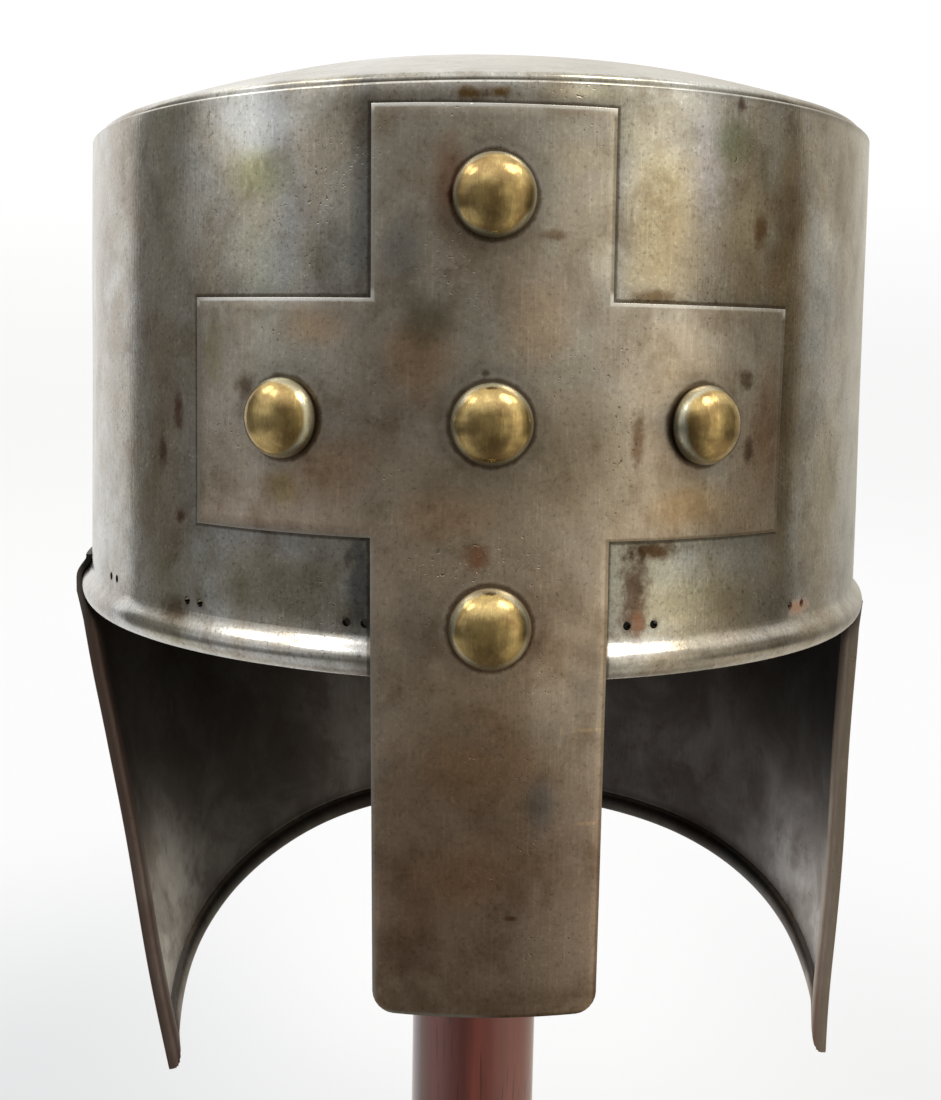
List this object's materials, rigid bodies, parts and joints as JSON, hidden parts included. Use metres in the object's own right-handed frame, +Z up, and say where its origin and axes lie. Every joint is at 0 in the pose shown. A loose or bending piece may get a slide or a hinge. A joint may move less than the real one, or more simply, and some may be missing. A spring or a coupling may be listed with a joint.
{
  "type": "templar helmet on a wooden display stand",
  "caption": "Flat-faced steel crusader helmet with domed top, studded cross whose lower arm is a nasal bar, and a wrap-round neck guard, resting on a turned wooden post stand.",
  "frame": {"origin": "centre of the underside of the stand's base, on the floor", "axes": "+Z up along the post, -Y out of the helmet's face, +X towards the viewer's right when facing it"},
  "size_m": [0.2252, 0.2817, 0.3897],
  "materials": {
    "browned_steel": "hand-brushed mild steel, browned and heat tinted, with small pits and bright worn edges",
    "dark_steel": "dark brown oxidised steel sheet, smoother and darker inside",
    "aged_brass": "aged brass with brown tarnish and paler rubbed rims",
    "mahogany": "red-brown varnished mahogany"
  },
  "bodies": {
    "root": {"crown_drum": "browned_steel", "crown_top": "browned_steel", "cross_plate": "browned_steel", "neck_guard": "dark_steel", "stud_top": "aged_brass", "stud_middle": "aged_brass", "stud_bottom": "aged_brass", "stud_left": "aged_brass", "stud_right": "aged_brass", "guard_rivet_1": "browned_steel", "guard_rivet_2": "browned_steel", "guard_rivet_3": "browned_steel", "guard_rivet_4": "browned_steel", "guard_rivet_5": "browned_steel", "stand_base": "mahogany", "stand_post": "mahogany", "stand_cap": "mahogany"}
  },
  "joints": []
}
